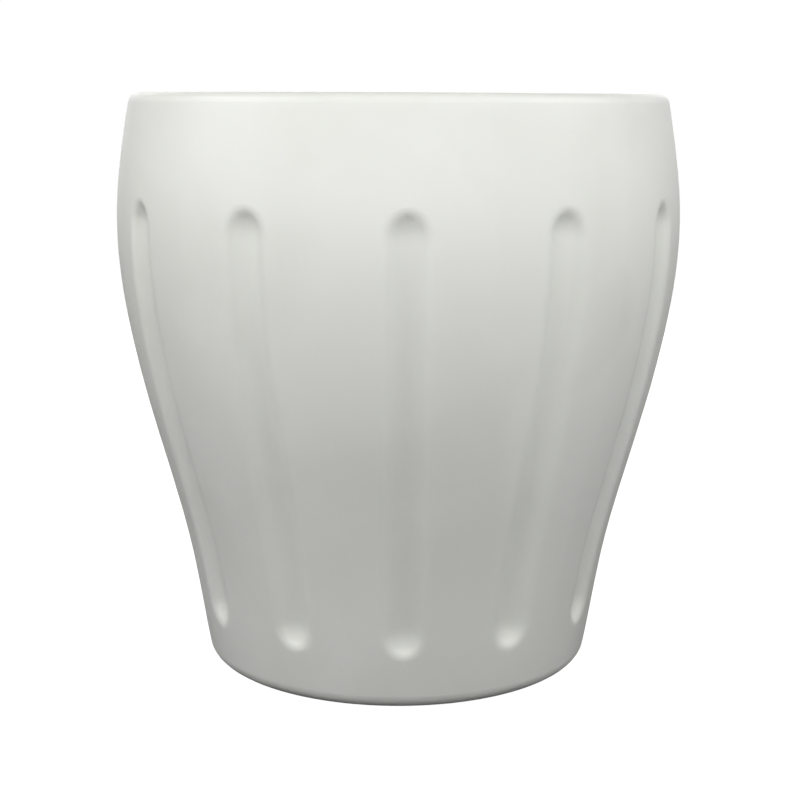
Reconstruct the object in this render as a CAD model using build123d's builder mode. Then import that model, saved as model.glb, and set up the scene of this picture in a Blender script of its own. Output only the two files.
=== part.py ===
from build123d import *
import math
import os

os.makedirs("parts", exist_ok=True)

# A tulip-shaped pen holder cup, moulded in one piece, with blind upright flutes
# around its side. It stands on four round rubber feet, each held by a disc of
# double-sided adhesive in a shallow seat under the cup.
# Millimetres, +Z up, origin on the axis of the cup, in the plane it stands on.

# ---- Cup: outside ----
cup_height = 100.0        # base face to the top of the rim
belly_radius = 49.0       # widest part of the side
belly_below_rim = 22.5    # from the rim down to the widest part
mouth_inset = 2.7         # how much narrower the rim is than the belly, on the radius
mouth_lean = 10.0         # degrees, inward lean of the side at the rim
base_radius = 33.8        # where the side meets the base face, before its round
base_lean = 11.6          # degrees, outward lean of the side at the base
waist_height = 20.0       # where the side begins to open out
waist_outset = 3.5        # how much wider the waist is than the base, on the radius
flank_height = 45.0       # middle of the steepest stretch
flank_inset = 5.25        # how much narrower the flank is than the belly, on the radius
base_round = 3.0
rim_outer_round = 1.8
rim_inner_round = 1.2     # or what the wall has left beside the outer round

# ---- Cup: inside and underside ----
wall = 3.2
floor_thickness = 3.2     # over the recess of the underside
floor_round = 4.0         # inside, where the wall meets the floor
recess_radius = 28.0      # shallow recess that leaves a standing ring around it
recess_depth = 0.8
recess_round = 0.5
gate_well_radius = 3.5    # sunk round patch that keeps the moulding gate out of the way
gate_well_depth = 0.3
gate_pip_radius = 0.9

# ---- Flutes ----
flute_count = 12
flute_depth = 1.6
flute_arc_radius = 3.9    # section of the groove, a round nose run along the side
flute_nose_length = 5.2   # half length of the egg-shaped nose that runs out at both ends
flute_edge_round = 2.2    # soft shoulder all round the groove
flute_low_end = 13.6      # centre of the egg at the lower end, above the base face
flute_high_end = 21.4     # centre of the egg at the upper end, below the rim

# ---- Feet ----
foot_count = 4
foot_radius = 4.0
foot_height = 1.6
foot_round = 0.4
foot_pitch_radius = 21.0
foot_first_angle = 45.0
seat_depth = 0.5
seat_clearance = 0.3      # gap around a foot in its seat
adhesive_thickness = 0.3
adhesive_setback = 0.3    # the disc is cut a little smaller than its foot

# ---- Levels ----
base_level = foot_height + adhesive_thickness - recess_depth - seat_depth
rim_level = base_level + cup_height
recess_level = base_level + recess_depth
seat_level = recess_level + seat_depth
floor_level = recess_level + floor_thickness


def side_curve(inset):
    """The side of the cup in the XZ plane, from base to rim, moved inward by inset."""
    base_turn = math.radians(base_lean)
    mouth_turn = math.radians(mouth_lean)
    return Spline(
        (base_radius - inset, base_level),
        (base_radius + waist_outset - inset, base_level + waist_height),
        (belly_radius - flank_inset - inset, base_level + flank_height),
        (belly_radius - inset, rim_level - belly_below_rim),
        (belly_radius - mouth_inset - inset, rim_level),
        tangents=[
            (math.sin(base_turn), math.cos(base_turn)),
            (-math.sin(mouth_turn), math.cos(mouth_turn)),
        ],
    )


def point_at_level(curve, level):
    """The point of the side curve at a height above the standing plane."""
    return curve.find_intersection_points(Axis((0, level, 0), (1, 0, 0)))[0]


# ---- Flute cutter: a round groove along the side, facing +X, with an egg at each end ----
nose_outset = flute_arc_radius - flute_depth
nose_curve = side_curve(-nose_outset)
groove_path = Plane.XZ * nose_curve.trim(
    point_at_level(nose_curve, base_level + flute_low_end),
    point_at_level(nose_curve, rim_level - flute_high_end),
)

with BuildPart() as flute_cutter:
    with BuildSketch(Plane(groove_path @ 0, z_dir=groove_path % 0)):
        Circle(flute_arc_radius)
    sweep(path=groove_path)
    for end in (0, 1):
        with BuildSketch(Plane(groove_path @ end, x_dir=groove_path % end, z_dir=(0, 1, 0))):
            Ellipse(flute_nose_length, flute_arc_radius)
            with Locations((0, -flute_arc_radius)):
                Rectangle(2 * flute_nose_length, 2 * flute_arc_radius, mode=Mode.SUBTRACT)
        revolve(axis=Axis(groove_path @ end, groove_path % end))

# ---- Side sector: one flute and half of the plain land on both sides of it ----
sector_angle = 360 / flute_count
sector_start = Plane.XZ.rotated((0, 0, -sector_angle / 2))


def rings_at(part, level):
    """The round edges of a part at a height, smallest first."""
    rings = part.edges().filter_by(GeomType.CIRCLE)
    return rings.filter_by_position(Axis.Z, level - 0.01, level + 0.01).sort_by(SortBy.RADIUS)


with BuildPart() as side_sector:
    with BuildSketch(sector_start):
        with BuildLine():
            outer_side = side_curve(0)
            Polyline(outer_side @ 1, (0, rim_level), (0, base_level), outer_side @ 0)
        make_face()
    revolve(axis=Axis.Z, revolution_arc=sector_angle)
    add(flute_cutter.part, mode=Mode.SUBTRACT)
    groove_mouths = side_sector.faces().filter_by(lambda face: len(face.inner_wires()) > 0)
    fillet(groove_mouths[0].inner_wires().edges(), flute_edge_round)
    fillet(rings_at(side_sector, base_level), base_round)
    fillet(rings_at(side_sector, rim_level), rim_outer_round)

# ---- Hollow of the cup: the same side line, one wall further in ----
with BuildPart() as hollow:
    with BuildSketch(sector_start):
        with BuildLine():
            inner_side = side_curve(wall)
            Polyline(inner_side @ 1, (0, rim_level), (0, base_level), inner_side @ 0)
        make_face()
    revolve(axis=Axis.Z)
    split(bisect_by=Plane.XY.offset(floor_level), keep=Keep.TOP)
    fillet(hollow.edges().group_by(Axis.Z)[0], floor_round)

# ---- Cup body: moulded in one piece ----
with BuildPart() as cup_body:
    with PolarLocations(0, flute_count):
        add(side_sector.part)
    add(hollow.part, mode=Mode.SUBTRACT)
    fillet(rings_at(cup_body, rim_level)[0], min(rim_inner_round, wall - rim_outer_round))

    # Underside: a shallow recess inside the standing ring
    with BuildSketch(Plane.XY.offset(base_level)):
        Circle(recess_radius)
    extrude(amount=recess_depth, mode=Mode.SUBTRACT)
    fillet(rings_at(cup_body, base_level)[0], recess_round)

    # Seats that the feet are stuck into
    with BuildSketch(Plane.XY.offset(recess_level)):
        with PolarLocations(foot_pitch_radius, foot_count, foot_first_angle):
            Circle(foot_radius + seat_clearance)
    extrude(amount=seat_depth, mode=Mode.SUBTRACT)

    # Gate well, with the pip that the moulding gate leaves
    with BuildSketch(Plane.XY.offset(recess_level)):
        Circle(gate_well_radius)
        Circle(gate_pip_radius, mode=Mode.SUBTRACT)
    extrude(amount=gate_well_depth, mode=Mode.SUBTRACT)

cup_body.part.label = "cup_body"
export_step(cup_body.part, "parts/cup_body.step")

# ---- Feet and their adhesive discs ----
foot_places = PolarLocations(foot_pitch_radius, foot_count, foot_first_angle)
for number, place in enumerate(foot_places, start=1):
    with BuildPart() as rubber_foot:
        with BuildSketch(Plane(place)):
            Circle(foot_radius)
        extrude(amount=foot_height)
        fillet(rubber_foot.edges().group_by(Axis.Z)[0], foot_round)
    rubber_foot.part.label = f"rubber_foot_{number}"
    export_step(rubber_foot.part, f"parts/rubber_foot_{number}.step")

    with BuildPart() as adhesive_disc:
        with BuildSketch(Plane(place).offset(foot_height)):
            Circle(foot_radius - adhesive_setback)
        extrude(amount=adhesive_thickness)
    adhesive_disc.part.label = f"adhesive_disc_{number}"
    export_step(adhesive_disc.part, f"parts/adhesive_disc_{number}.step")
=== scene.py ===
# %% [markdown]
# # A moulded pen cup, dressed and lit
# The cup is a single polypropylene moulding on four stick-on rubber feet. Its measured
# model is loaded first as a fixed frame: every solid already lies where it belongs, in
# metres, and nothing below moves it. What is left for this script is how the cup looks,
# which is the finish of each piece, the finer shape of the feet, the light and the camera.

# %% Load the model
import math
import bpy
from mathutils import Matrix, Vector


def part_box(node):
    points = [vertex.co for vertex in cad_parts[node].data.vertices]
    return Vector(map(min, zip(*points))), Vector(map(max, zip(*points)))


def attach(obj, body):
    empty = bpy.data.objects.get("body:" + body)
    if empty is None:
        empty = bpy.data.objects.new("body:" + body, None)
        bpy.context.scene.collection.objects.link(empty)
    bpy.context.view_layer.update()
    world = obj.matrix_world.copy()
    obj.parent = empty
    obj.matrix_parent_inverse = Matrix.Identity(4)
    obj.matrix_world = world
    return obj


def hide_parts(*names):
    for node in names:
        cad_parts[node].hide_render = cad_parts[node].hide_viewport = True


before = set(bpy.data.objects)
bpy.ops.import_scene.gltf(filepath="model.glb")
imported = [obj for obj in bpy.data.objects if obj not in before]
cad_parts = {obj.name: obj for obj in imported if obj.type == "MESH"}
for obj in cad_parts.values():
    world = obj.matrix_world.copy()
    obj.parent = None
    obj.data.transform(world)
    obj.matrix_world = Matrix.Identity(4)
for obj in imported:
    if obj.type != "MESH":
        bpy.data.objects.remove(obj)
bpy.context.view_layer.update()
millimetre = 0.001
print("nodes:", ", ".join(sorted(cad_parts)))

# %% [markdown]
# ## Where things are
# Heights are read from the model instead of being typed in again, so the light, the camera
# and the wear on the plastic follow the cup if its size changes. The rim is the top of the
# cup body, and the axis of the cup is the Z axis.

# %% Heights of the cup
cup_low, cup_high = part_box("cup_body")
rim_height = cup_high.z
base_height = cup_low.z
cup_middle = Vector((0, 0, (rim_height + base_height) / 2))
print(f"rim at {rim_height / millimetre:.2f} mm, base at {base_height / millimetre:.2f} mm")

# %% [markdown]
# ## The camera
# A cup seen with its rim as one straight line has the lens at the height of the rim. The
# lens stands close, so the foot of the cup is seen from above and curves, and it is turned
# down so that the cup sits in the middle of the frame. Three plain rotations give that
# aim: turn towards the cup, tip down, and a hair of roll.

# %% Camera
camera_distance = 0.2812      # from the axis of the cup to the lens
camera_below_rim = 0.001
camera_azimuth = math.radians(-1.70)
camera_turn = math.radians(-0.083)
camera_dip = math.radians(10.74)
camera_roll = math.radians(0.231)

bpy.ops.object.camera_add()
camera = bpy.context.object
camera.name = "camera"
camera.data.sensor_width = 36
camera.data.lens = 71.38
camera.data.clip_start = 0.01
camera.location = (
    camera_distance * math.sin(camera_azimuth),
    -camera_distance * math.cos(camera_azimuth),
    rim_height - camera_below_rim,
)
heading = Matrix.Rotation(camera_azimuth + camera_turn, 3, "Z")
dip = Matrix.Rotation(math.radians(90) - camera_dip, 3, "X")
roll = Matrix.Rotation(camera_roll, 3, "Z")
camera.rotation_euler = (heading @ dip @ roll).to_euler()
bpy.context.scene.camera = camera
print("camera at", [round(value, 4) for value in camera.location])

# %% [markdown]
# ## Colours and nodes
# Paint and plastic colours are given as sRGB hex codes, as on a colour card, and the
# shader works in linear light, so one function turns the one into the other. A second
# small function adds a node with its settings, and joins it to the sockets it is fed from.
# Every finish below is built with those two.

# %% Colour and node helpers
def colour(code):
    """Linear RGBA from an sRGB hex code."""
    channels = [int(code[place : place + 2], 16) / 255 for place in (1, 3, 5)]
    linear = [c / 12.92 if c <= 0.04045 else ((c + 0.055) / 1.055) ** 2.4 for c in channels]
    return (*linear, 1.0)


def add_node(tree, kind, inputs, **settings):
    """Adds a node. An input is a value, or the socket that it comes from."""
    node = tree.nodes.new(kind)
    for name, value in settings.items():
        setattr(node, name, value)
    for name, value in inputs.items():
        if isinstance(value, bpy.types.NodeSocket):
            tree.links.new(value, node.inputs[name])
        else:
            node.inputs[name].default_value = value
    return node


def new_material(name):
    """An empty material, with its node tree and its output node."""
    material = bpy.data.materials.new(name)
    material.use_nodes = True
    tree = material.node_tree
    tree.nodes.clear()
    output = tree.nodes.new("ShaderNodeOutputMaterial")
    return material, tree, output


def per_metre(size_in_mm):
    """The texture scale that makes a pattern's features this many millimetres wide."""
    return 1 / (size_in_mm * millimetre)


print("a warm white in linear light:", [round(value, 3) for value in colour("#e9eae5")])

# %% [markdown]
# ## The studio floor
# The cup stands in a white sweep: a floor that bends up into a wall all round, so that no
# horizon shows. One disc could do, but its edge would cut the picture. The disc is
# extruded outwards in rings whose heights follow a quarter circle, then up as the wall.
# It is left out of the light that falls on the cup, because a white floor this near would
# brighten the foot of the cup as much as its rim.

# %% Sweep
floor_radius = 1.6
bend_radius = 0.8
wall_height = 2.5
bend_steps = 12

bpy.ops.object.select_all(action="DESELECT")
bpy.ops.mesh.primitive_circle_add(vertices=96, radius=floor_radius, fill_type="NGON")
sweep = bpy.context.object
sweep.name = "studio_sweep"
bpy.ops.object.mode_set(mode="EDIT")
bpy.ops.mesh.select_all(action="SELECT")
bpy.ops.mesh.select_mode(type="EDGE")
bpy.ops.mesh.region_to_loop()
reach, level = floor_radius, 0.0
for step in range(1, bend_steps + 1):
    bend = math.radians(90) * step / bend_steps
    next_reach = floor_radius + bend_radius * math.sin(bend)
    next_level = bend_radius * (1 - math.cos(bend))
    growth = next_reach / reach
    bpy.ops.mesh.extrude_edges_move(TRANSFORM_OT_translate={"value": (0, 0, next_level - level)})
    bpy.ops.transform.resize(value=(growth, growth, 1), center_override=(0, 0, 0))
    reach, level = next_reach, next_level
bpy.ops.mesh.extrude_edges_move(TRANSFORM_OT_translate={"value": (0, 0, wall_height)})
bpy.ops.mesh.select_all(action="SELECT")
bpy.ops.mesh.normals_make_consistent(inside=True)
bpy.ops.object.mode_set(mode="OBJECT")
bpy.ops.object.shade_smooth()
sweep.visible_diffuse = False
sweep.visible_glossy = False
print("sweep:", len(sweep.data.polygons), "faces,", round(reach * 2, 2), "m across")

# %% [markdown]
# White painted board is matte. Most of its brightness here is a glow, which stands for
# the light that the rest of a studio sends to a real sweep from every side, and which
# keeps the bend of the sweep from showing as a grey band.

# %% White painted board
board, tree, output = new_material("white_painted_board")
place = add_node(tree, "ShaderNodeTexCoord", {})
roller = add_node(
    tree,
    "ShaderNodeTexNoise",
    {"Vector": place.outputs["Object"], "Scale": per_metre(2.0), "Detail": 3.0},
)
stipple = add_node(
    tree,
    "ShaderNodeBump",
    {"Height": roller.outputs["Fac"], "Strength": 0.2, "Distance": 0.05 * millimetre},
)
paint = add_node(
    tree,
    "ShaderNodeBsdfPrincipled",
    {
        "Base Color": colour("#8c8c8a"),
        "Roughness": 0.85,
        "Normal": stipple.outputs["Normal"],
        "Emission Color": colour("#ffffff"),
        "Emission Strength": 1.0,
    },
)
tree.links.new(paint.outputs["BSDF"], output.inputs["Surface"])
sweep.data.materials.append(board)
print("board nodes:", len(tree.nodes))

# %% [markdown]
# ## The light
# A satin white cup is shaped by large soft boxes. A key box in front, above the rim and
# near, lets the light fade down the side, which is what shows the belly. Pairs of side
# boxes fill the flanks and draw the edges of the flutes, because a flute's two walls face
# left and right. At 34 degrees up they light the side without making the rim gleam, and
# weak strips near the desk lift the foot. Boxes behind the cup light it for a look from
# the far side. The boxes give light but aren't seen themselves.

# %% Soft boxes
def soft_box(name, azimuth, elevation, distance, size, power):
    """A rectangular soft box that faces the middle of the cup: degrees, metres, watts."""
    turn, rise = math.radians(azimuth), math.radians(elevation)
    direction = Vector(
        (math.sin(turn) * math.cos(rise), -math.cos(turn) * math.cos(rise), math.sin(rise))
    )
    bpy.ops.object.light_add(type="AREA", location=cup_middle + direction * distance)
    box = bpy.context.object
    box.name = name
    box.rotation_euler = direction.to_track_quat("Z", "Y").to_euler()
    box.data.shape = "RECTANGLE"
    box.data.size, box.data.size_y = size
    box.data.energy = power
    box.visible_camera = False


soft_box("front_key", azimuth=0, elevation=26, distance=0.30, size=(0.42, 0.20), power=0.64)
soft_box("front_strip", azimuth=0, elevation=-2, distance=0.40, size=(0.30, 0.12), power=0.04)
soft_box("back_key", azimuth=180, elevation=16, distance=0.46, size=(0.50, 0.30), power=0.90)
soft_box("back_strip", azimuth=180, elevation=-2, distance=0.40, size=(0.30, 0.12), power=0.15)

side_distance = 0.36
side_size = (0.25, 0.25)
side_strip_size = (0.20, 0.12)
for hand, side, high_power in (("left", -1, 0.64), ("right", 1, 0.56)):
    soft_box(f"{hand}_high", side * 75, 34, side_distance, side_size, high_power)
    soft_box(f"{hand}_strip", side * 50, -4, side_distance, side_strip_size, power=0.04)
    soft_box(f"{hand}_back", side * 135, 25, side_distance, side_size, power=0.10)

# %% [markdown]
# The rest of the room is dim and even. It keeps the hollow of the cup and the underside
# from going black without adding a shadow of its own.

# %% Dim room
room = bpy.data.worlds.new("dim_room")
bpy.context.scene.world = room
room.use_nodes = True
room_light = room.node_tree.nodes["Background"].inputs
room_light["Color"].default_value = colour("#f4f6f8")
room_light["Strength"].default_value = 0.06
bpy.context.scene.view_settings.view_transform = "Standard"
print("room light", room_light["Strength"].default_value)

# %% [markdown]
# ## Finish of the cup: moulded polypropylene
# The cup is injection moulded in one shot from polypropylene coloured a warm white. The
# melt leaves faint clouds of tone, the steel of the mould leaves a fine spark-eroded
# grain that makes it satin, and shrinking leaves a very slight waviness. Polypropylene
# lets a little light in, which softens small edges, so the shader has some subsurface.
# Hands polish the rim and the desk scuffs the foot, so gloss changes with height.
#
# Tones are mixed with Mix nodes. Such a node has sockets for numbers, vectors and colours
# at once, under the same names, so the ones for colours are reached by their places.

# %% Moulded polypropylene
mix_share, mix_from, mix_to = 0, 6, 7
mix_result = 2

polypropylene, tree, output = new_material("moulded_polypropylene")
place = add_node(tree, "ShaderNodeTexCoord", {})
position = place.outputs["Object"]
axes = add_node(tree, "ShaderNodeSeparateXYZ", {"Vector": position})

# Tone: broad clouds of pigment, 28 mm wide, between two near whites.
cloud = add_node(
    tree,
    "ShaderNodeTexNoise",
    {"Vector": position, "Scale": per_metre(28), "Detail": 3.0, "Roughness": 0.45, "Distortion": 0.6},
)
cloud_mix = add_node(
    tree,
    "ShaderNodeMapRange",
    {"Value": cloud.outputs["Fac"], "From Min": 0.35, "From Max": 0.65},
    interpolation_type="SMOOTHSTEP",
)
tone = add_node(
    tree,
    "ShaderNodeMix",
    {
        mix_share: cloud_mix.outputs["Result"],
        mix_from: colour("#e9eae5"),
        mix_to: colour("#e4e5df"),
    },
    data_type="RGBA",
)
print("tone clouds are 28 mm wide")

# %% [markdown]
# Specks are grains of darker pigment or trapped dust, a fifth of a millimetre wide and
# rare. A Voronoi pattern has one point in each cell, so a small disc round that point is a
# speck, and the random shade of the cell picks the few cells that have one.

# %% Specks in the plastic
speck_spacing = 6.0           # millimetres
speck_radius = 0.16
empty_cells = 0.82            # share of the cells that have no speck
speck_darkness = 0.35
cells = add_node(tree, "ShaderNodeTexVoronoi", {"Vector": position, "Scale": per_metre(speck_spacing)})
near_point = add_node(
    tree,
    "ShaderNodeMapRange",
    {
        "Value": cells.outputs["Distance"],
        "From Min": speck_radius / speck_spacing,
        "From Max": 0.4 * speck_radius / speck_spacing,
    },
)
shade = add_node(tree, "ShaderNodeSeparateColor", {"Color": cells.outputs["Color"]})
chosen = add_node(
    tree, "ShaderNodeMath", {0: shade.outputs["Red"], 1: empty_cells}, operation="GREATER_THAN"
)
speck = add_node(
    tree,
    "ShaderNodeMath",
    {0: near_point.outputs["Result"], 1: chosen.outputs["Value"]},
    operation="MULTIPLY",
)
speck_strength = add_node(
    tree, "ShaderNodeMath", {0: speck.outputs["Value"], 1: speck_darkness}, operation="MULTIPLY"
)
specked = add_node(
    tree,
    "ShaderNodeMix",
    {
        mix_share: speck_strength.outputs["Value"],
        mix_from: tone.outputs[mix_result],
        mix_to: colour("#8c8778"),
    },
    data_type="RGBA",
)
print("specks", 2 * speck_radius, "mm wide, one cell each", speck_spacing, "mm")

# %% [markdown]
# Dust settles on what faces up: the floor inside the cup most of all, and the lower ends
# of the flutes a little. The surface normal's upward part says how level a place is, and
# a noise breaks the film up so that it isn't a flat coat.

# %% Dust on level places
dust_cover = 0.30
surface = add_node(tree, "ShaderNodeNewGeometry", {})
facing = add_node(tree, "ShaderNodeSeparateXYZ", {"Vector": surface.outputs["Normal"]})
level_part = add_node(
    tree,
    "ShaderNodeMapRange",
    {"Value": facing.outputs["Z"], "From Min": 0.55, "From Max": 1.0, "To Max": dust_cover},
)
dust_noise = add_node(
    tree,
    "ShaderNodeTexNoise",
    {"Vector": position, "Scale": per_metre(1.6), "Detail": 6.0, "Roughness": 0.7},
)
dust = add_node(
    tree,
    "ShaderNodeMath",
    {0: level_part.outputs["Result"], 1: dust_noise.outputs["Fac"]},
    operation="MULTIPLY",
)
dusted = add_node(
    tree,
    "ShaderNodeMix",
    {
        mix_share: dust.outputs["Value"],
        mix_from: specked.outputs[mix_result],
        mix_to: colour("#b9b5aa"),
    },
    data_type="RGBA",
)
print("dust covers up to", round(dust_cover * 100), "percent of level places")

# %% [markdown]
# Gloss comes from three things: streaks 3 mm wide that follow the flow of the melt up the
# side, the rim that fingers have polished, and the scuffed millimetres above the desk.

# %% Gloss
streak_place = add_node(tree, "ShaderNodeMapping", {"Vector": position, "Scale": (1, 1, 0.12)})
streaks = add_node(
    tree,
    "ShaderNodeTexNoise",
    {"Vector": streak_place.outputs["Vector"], "Scale": per_metre(3), "Detail": 4.0, "Roughness": 0.6},
)
streak_gloss = add_node(
    tree, "ShaderNodeMapRange", {"Value": streaks.outputs["Fac"], "To Min": 0.40, "To Max": 0.54}
)
polished = add_node(
    tree,
    "ShaderNodeMapRange",
    {
        "Value": axes.outputs["Z"],
        "From Min": rim_height - 3 * millimetre,
        "From Max": rim_height,
        "To Max": -0.07,
    },
)
scuffed = add_node(
    tree,
    "ShaderNodeMapRange",
    {
        "Value": axes.outputs["Z"],
        "From Min": base_height + 2.5 * millimetre,
        "From Max": base_height,
        "To Max": 0.16,
    },
)
wear = add_node(
    tree,
    "ShaderNodeMath",
    {0: polished.outputs["Result"], 1: scuffed.outputs["Result"]},
    operation="ADD",
)
gloss = add_node(
    tree,
    "ShaderNodeMath",
    {0: streak_gloss.outputs["Result"], 1: wear.outputs["Value"]},
    operation="ADD",
)
print("roughness 0.40 to 0.54, less at the rim and more at the foot")

# %% [markdown]
# Two bumps lie one on the other. The waviness is 9 mm wide and a hundredth of a millimetre
# deep. The mould's real grain is about 0.1 mm wide, too fine to show from here, so it is
# drawn 0.4 mm wide and kept very shallow.

# %% Waviness and grain, and the shader
wave = add_node(
    tree,
    "ShaderNodeTexNoise",
    {"Vector": position, "Scale": per_metre(9), "Detail": 1.0, "Roughness": 0.4},
)
wavy = add_node(
    tree,
    "ShaderNodeBump",
    {"Height": wave.outputs["Fac"], "Strength": 1.0, "Distance": 0.03 * millimetre},
)
grain = add_node(
    tree,
    "ShaderNodeTexNoise",
    {"Vector": position, "Scale": per_metre(0.4), "Detail": 2.0, "Roughness": 0.5},
)
grained = add_node(
    tree,
    "ShaderNodeBump",
    {
        "Height": grain.outputs["Fac"],
        "Strength": 0.5,
        "Distance": 0.006 * millimetre,
        "Normal": wavy.outputs["Normal"],
    },
)
plastic = add_node(
    tree,
    "ShaderNodeBsdfPrincipled",
    {
        "Base Color": dusted.outputs[mix_result],
        "Roughness": gloss.outputs["Value"],
        "IOR": 1.49,
        "Subsurface Weight": 0.25,
        "Subsurface Radius": (1.0, 0.95, 0.85),
        "Subsurface Scale": 1.2 * millimetre,
        "Normal": grained.outputs["Normal"],
    },
)
tree.links.new(plastic.outputs["BSDF"], output.inputs["Surface"])


def give_finish(thing, material):
    """Puts one material on a piece, in place of the one that it was loaded with."""
    thing.data.materials.clear()
    thing.data.materials.append(material)


give_finish(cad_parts["cup_body"], polypropylene)
print("polypropylene nodes:", len(tree.nodes))

# %% [markdown]
# ## The rubber feet
# A stick-on foot is moulded from polyurethane rubber: a short drum with a rolled lower
# edge, and a shallow dish in its underside that makes it grip by its rim. The model's foot
# is a plain drum, so it is replaced by one shaped here. It starts as a cylinder of the
# model's own size. Its lower face is inset once for the ring that grips, then three times
# more, each inset pressed in a little deeper for the dish, and a Bevel rounds the edges.
# One foot is made, and the other three are copies set on their own places.

# %% Shape of a foot
foot_names = sorted(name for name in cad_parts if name.startswith("rubber_foot"))
foot_low, foot_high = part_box(foot_names[0])
foot_radius = (foot_high.x - foot_low.x) / 2
foot_height = foot_high.z - foot_low.z
foot_middle = (foot_low + foot_high) / 2
dish_margin = 0.9 * millimetre
dish_depth = 0.25 * millimetre
dish_ring_width = foot_radius * 0.17
edge_round = 0.35 * millimetre

bpy.ops.object.select_all(action="DESELECT")
bpy.ops.mesh.primitive_cylinder_add(
    vertices=96, radius=foot_radius, depth=foot_height, end_fill_type="NGON", location=foot_middle
)
first_foot = bpy.context.object
first_foot.name = "dished_foot_1"
bpy.ops.object.transform_apply(location=True, rotation=True, scale=True)
bpy.ops.object.mode_set(mode="EDIT")
bpy.ops.mesh.select_mode(type="FACE")
bpy.ops.mesh.select_all(action="DESELECT")
bpy.ops.object.mode_set(mode="OBJECT")
for face in first_foot.data.polygons:
    face.select = face.normal.z < -0.5
bpy.ops.object.mode_set(mode="EDIT")
bpy.ops.mesh.inset(thickness=dish_margin)
for share_of_depth in (0.5, 0.25, 0.25):
    bpy.ops.mesh.inset(thickness=dish_ring_width)
    bpy.ops.transform.translate(value=(0, 0, dish_depth * share_of_depth))
bpy.ops.object.mode_set(mode="OBJECT")
bevel = first_foot.modifiers.new("rolled edge", "BEVEL")
bevel.width = edge_round
bevel.segments = 5
bevel.limit_method = "ANGLE"
bevel.angle_limit = math.radians(40)
bpy.ops.object.modifier_apply(modifier=bevel.name)
bpy.ops.object.shade_smooth_by_angle(angle=math.radians(35))
print(f"foot: {2 * foot_radius / millimetre:.2f} mm wide,", len(first_foot.data.polygons), "faces")

# %% [markdown]
# Moulded polyurethane rubber is matte and dark, and always a little dusty, because grip is
# tack. Its mould is plain turned steel, so the surface has a fine even grain and no gloss.

# %% Moulded polyurethane rubber
rubber, tree, output = new_material("moulded_polyurethane_rubber")
place = add_node(tree, "ShaderNodeTexCoord", {})
lint = add_node(
    tree,
    "ShaderNodeTexNoise",
    {"Vector": place.outputs["Object"], "Scale": per_metre(0.9), "Detail": 6.0, "Roughness": 0.7},
)
lint_mix = add_node(
    tree, "ShaderNodeMapRange", {"Value": lint.outputs["Fac"], "From Min": 0.45, "From Max": 0.75}
)
rubber_tone = add_node(
    tree,
    "ShaderNodeMix",
    {
        mix_share: lint_mix.outputs["Result"],
        mix_from: colour("#2b2b2d"),
        mix_to: colour("#55534f"),
    },
    data_type="RGBA",
)
rubber_gloss = add_node(
    tree, "ShaderNodeMapRange", {"Value": lint.outputs["Fac"], "To Min": 0.62, "To Max": 0.88}
)
rubber_grain = add_node(
    tree,
    "ShaderNodeTexNoise",
    {"Vector": place.outputs["Object"], "Scale": per_metre(0.15), "Detail": 2.0},
)
rubber_bump = add_node(
    tree,
    "ShaderNodeBump",
    {"Height": rubber_grain.outputs["Fac"], "Strength": 0.5, "Distance": 0.01 * millimetre},
)
rubber_shader = add_node(
    tree,
    "ShaderNodeBsdfPrincipled",
    {
        "Base Color": rubber_tone.outputs[mix_result],
        "Roughness": rubber_gloss.outputs["Result"],
        "IOR": 1.5,
        "Normal": rubber_bump.outputs["Normal"],
    },
)
tree.links.new(rubber_shader.outputs["BSDF"], output.inputs["Surface"])
first_foot.data.materials.append(rubber)
print("rubber nodes:", len(tree.nodes))

# %% [markdown]
# Each copy has its own mesh, moved by the step from the first foot's middle to its own.
# The object itself stays at the origin, so the rubber's grain is different on every foot.

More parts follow.
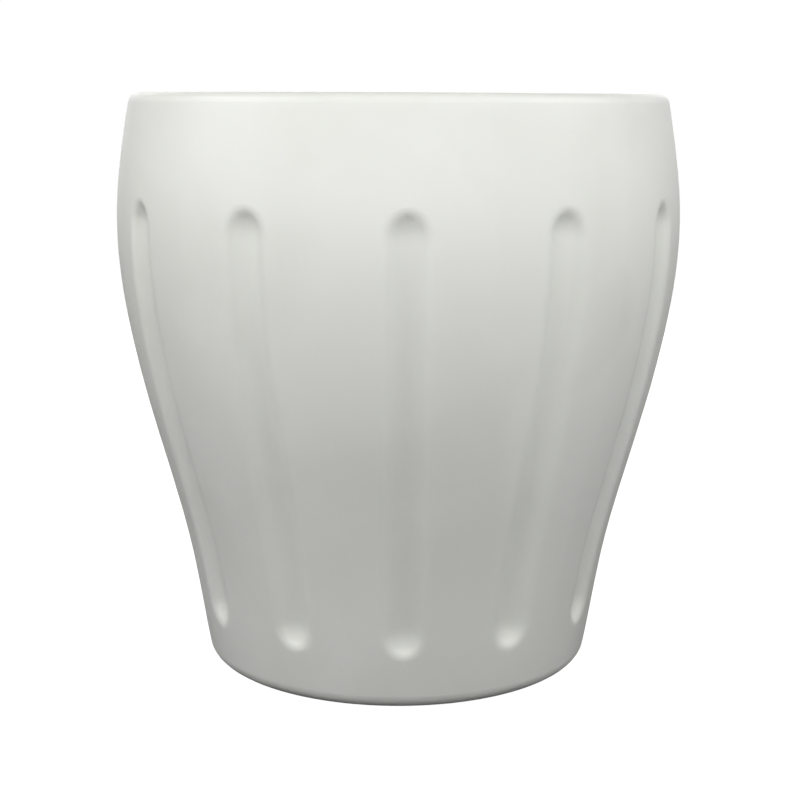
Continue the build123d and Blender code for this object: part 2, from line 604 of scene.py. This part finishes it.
# %% Four feet
for number, foot_name in enumerate(foot_names, start=1):
    if number == 1:
        foot = first_foot
    else:
        low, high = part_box(foot_name)
        bpy.ops.object.select_all(action="DESELECT")
        first_foot.select_set(True)
        bpy.context.view_layer.objects.active = first_foot
        bpy.ops.object.duplicate(linked=False)
        foot = bpy.context.object
        foot.name = f"dished_foot_{number}"
        foot.location = (low + high) / 2 - foot_middle
        bpy.ops.object.transform_apply(location=True, rotation=False, scale=False)
    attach(foot, "root")
    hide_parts(foot_name)
    print(foot.name, "stands for", foot_name)

# %% [markdown]
# ## The adhesive discs
# Each foot is held by a punched disc of double-sided acrylic foam tape. Its cut edge is a
# milky cream with tiny closed bubbles, and only that edge shows. The discs are plain flat
# discs on the real thing, so the model's own solids stay and get the finish.

# %% Acrylic foam tape
tape, tree, output = new_material("acrylic_foam_tape")
place = add_node(tree, "ShaderNodeTexCoord", {})
bubbles = add_node(
    tree, "ShaderNodeTexVoronoi", {"Vector": place.outputs["Object"], "Scale": per_metre(0.12)}
)
tape_cloud = add_node(
    tree,
    "ShaderNodeTexNoise",
    {"Vector": place.outputs["Object"], "Scale": per_metre(1.5), "Detail": 4.0},
)
tape_tone = add_node(
    tree,
    "ShaderNodeMix",
    {
        mix_share: tape_cloud.outputs["Fac"],
        mix_from: colour("#ebe6d6"),
        mix_to: colour("#d9d2bd"),
    },
    data_type="RGBA",
)
tape_gloss = add_node(
    tree, "ShaderNodeMapRange", {"Value": tape_cloud.outputs["Fac"], "To Min": 0.45, "To Max": 0.7}
)
tape_bump = add_node(
    tree,
    "ShaderNodeBump",
    {"Height": bubbles.outputs["Distance"], "Strength": 0.6, "Distance": 0.02 * millimetre},
)
tape_shader = add_node(
    tree,
    "ShaderNodeBsdfPrincipled",
    {
        "Base Color": tape_tone.outputs[mix_result],
        "Roughness": tape_gloss.outputs["Result"],
        "IOR": 1.47,
        "Subsurface Weight": 0.3,
        "Subsurface Scale": 0.4 * millimetre,
        "Normal": tape_bump.outputs["Normal"],
    },
)
tree.links.new(tape_shader.outputs["BSDF"], output.inputs["Surface"])
for name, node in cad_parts.items():
    if name.startswith("adhesive_disc"):
        give_finish(node, tape)
print("tape nodes:", len(tree.nodes))
